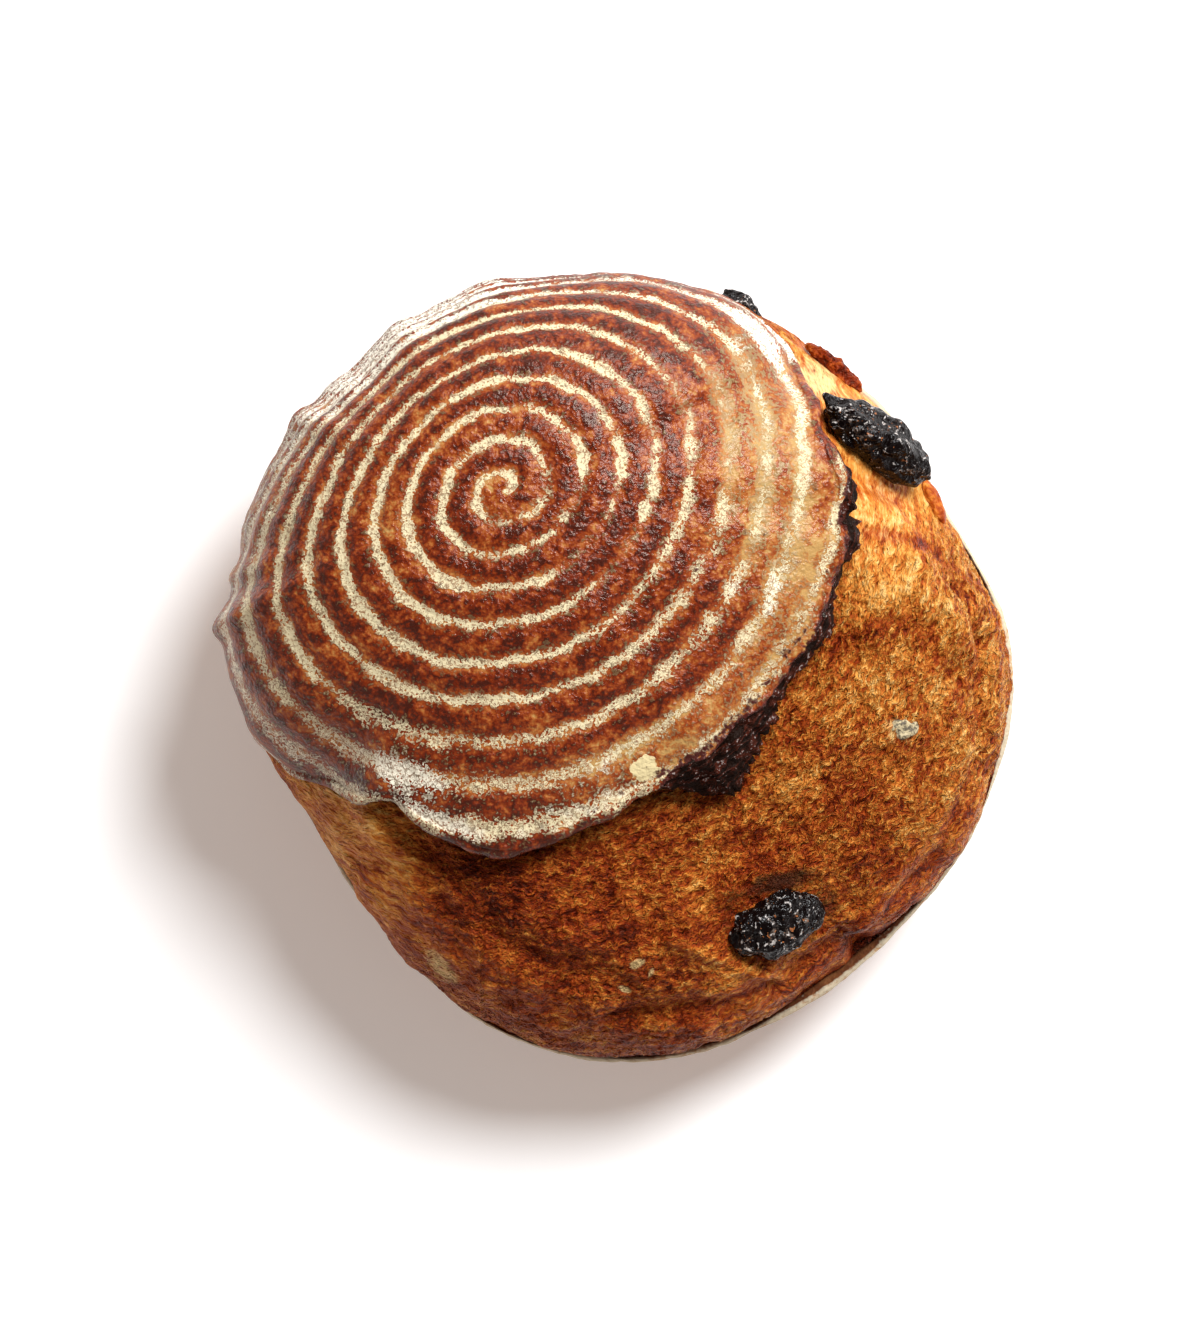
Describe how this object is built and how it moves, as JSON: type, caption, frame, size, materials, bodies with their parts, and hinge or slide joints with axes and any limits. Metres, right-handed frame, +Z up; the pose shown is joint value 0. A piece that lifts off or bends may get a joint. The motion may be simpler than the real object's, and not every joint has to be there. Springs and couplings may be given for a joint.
{
  "type": "sourdough loaf",
  "caption": "Round fruited sourdough loaf: a ring-marked lid of dark crust lifted off a torn golden belly, with prunes and a nut bedded in the tear.",
  "frame": {"origin": "the middle of the flat base that the loaf stands on, at table level", "axes": "+Z up; +Y towards the back, where the lid stays joined to the loaf; +X to the right as seen from above with +Y away"},
  "size_m": [0.21, 0.2084, 0.099],
  "materials": {
    "crust": "baked bread crust: mahogany brown with cream flour rings on the lid, golden to dark amber where torn",
    "prune": "black wrinkled dried fruit, glossy",
    "walnut": "pale broken nut, matt"
  },
  "bodies": {
    "root": {"loaf": "crust", "prune_shoulder": "prune", "prune_belly": "prune", "prune_back": "prune", "walnut_piece": "walnut"}
  },
  "joints": []
}
